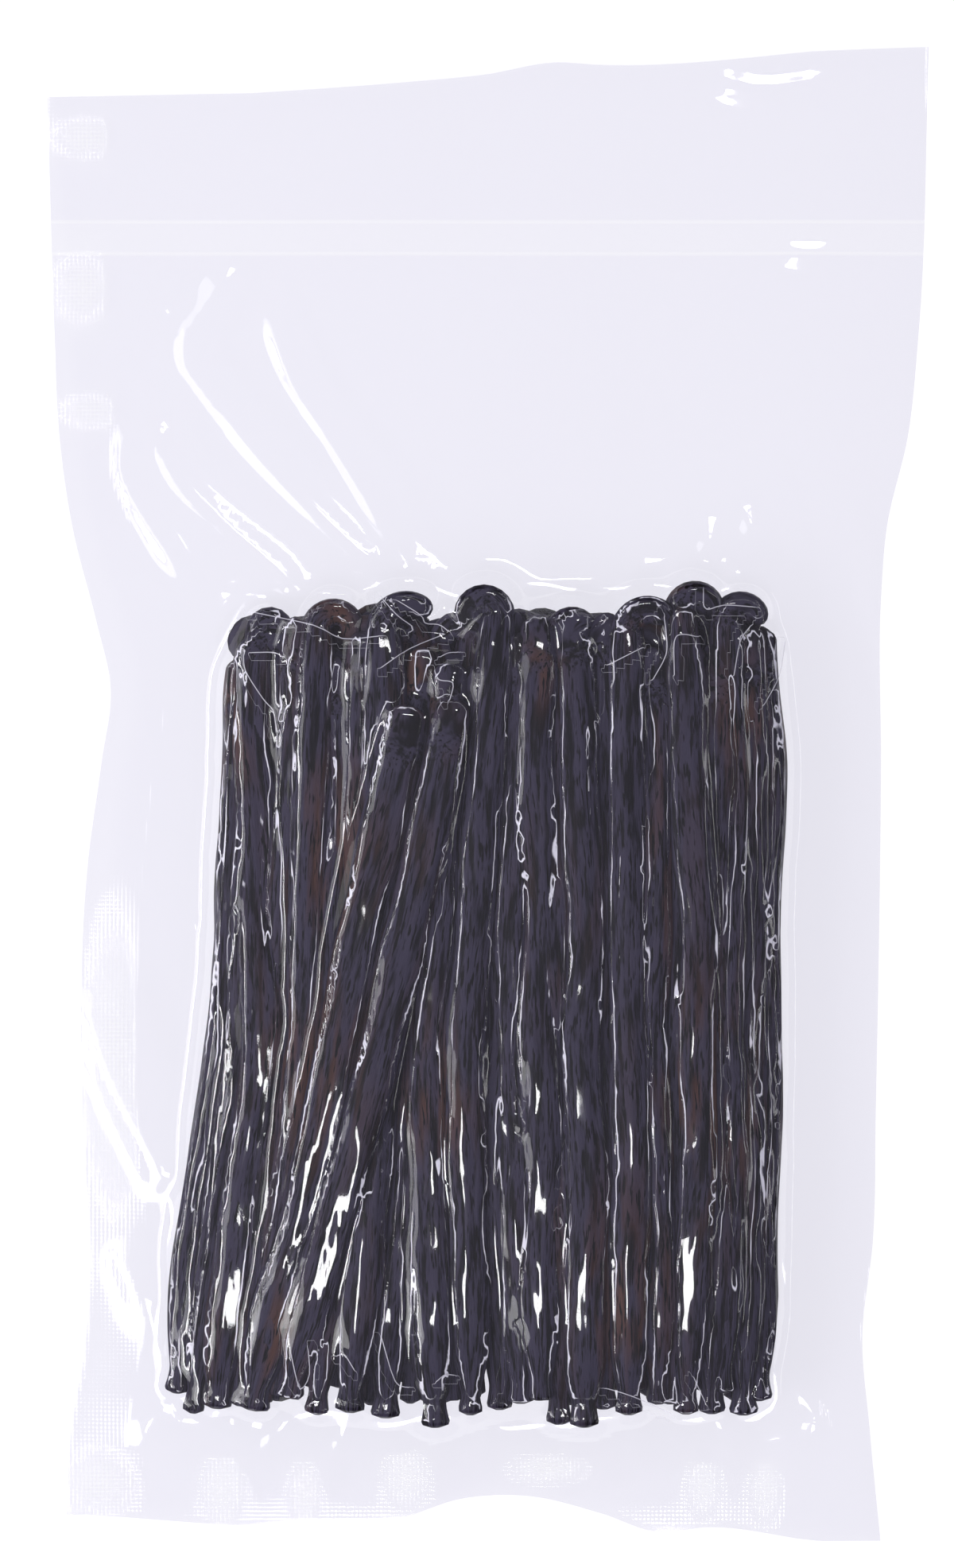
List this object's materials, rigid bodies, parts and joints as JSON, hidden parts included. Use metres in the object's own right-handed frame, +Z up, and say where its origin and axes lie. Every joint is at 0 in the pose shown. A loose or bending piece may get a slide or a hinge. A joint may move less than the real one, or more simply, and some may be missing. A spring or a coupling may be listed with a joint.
{
  "type": "vacuum pouch of vanilla pods",
  "caption": "Flat clear vacuum pouch holding a flat bundle of long dark cured vanilla pods side by side, with wide sealed film edges and a long empty end.",
  "frame": {"origin": "under the middle of the pouch, on the surface that it lies on", "axes": "+X across the pouch to the right, +Y along the pods towards the open mouth, +Z up out of the surface, through the shown side"},
  "size_m": [0.15, 0.254, 0.0205],
  "materials": {
    "cured_pod": "dark brown wrinkled pod skin with an oily sheen",
    "clear_film": "clear glossy barrier film, faintly lavender where two sheets lie together"
  },
  "bodies": {
    "root": {"pod_bundle": "cured_pod", "pouch_film": "clear_film"}
  },
  "joints": []
}
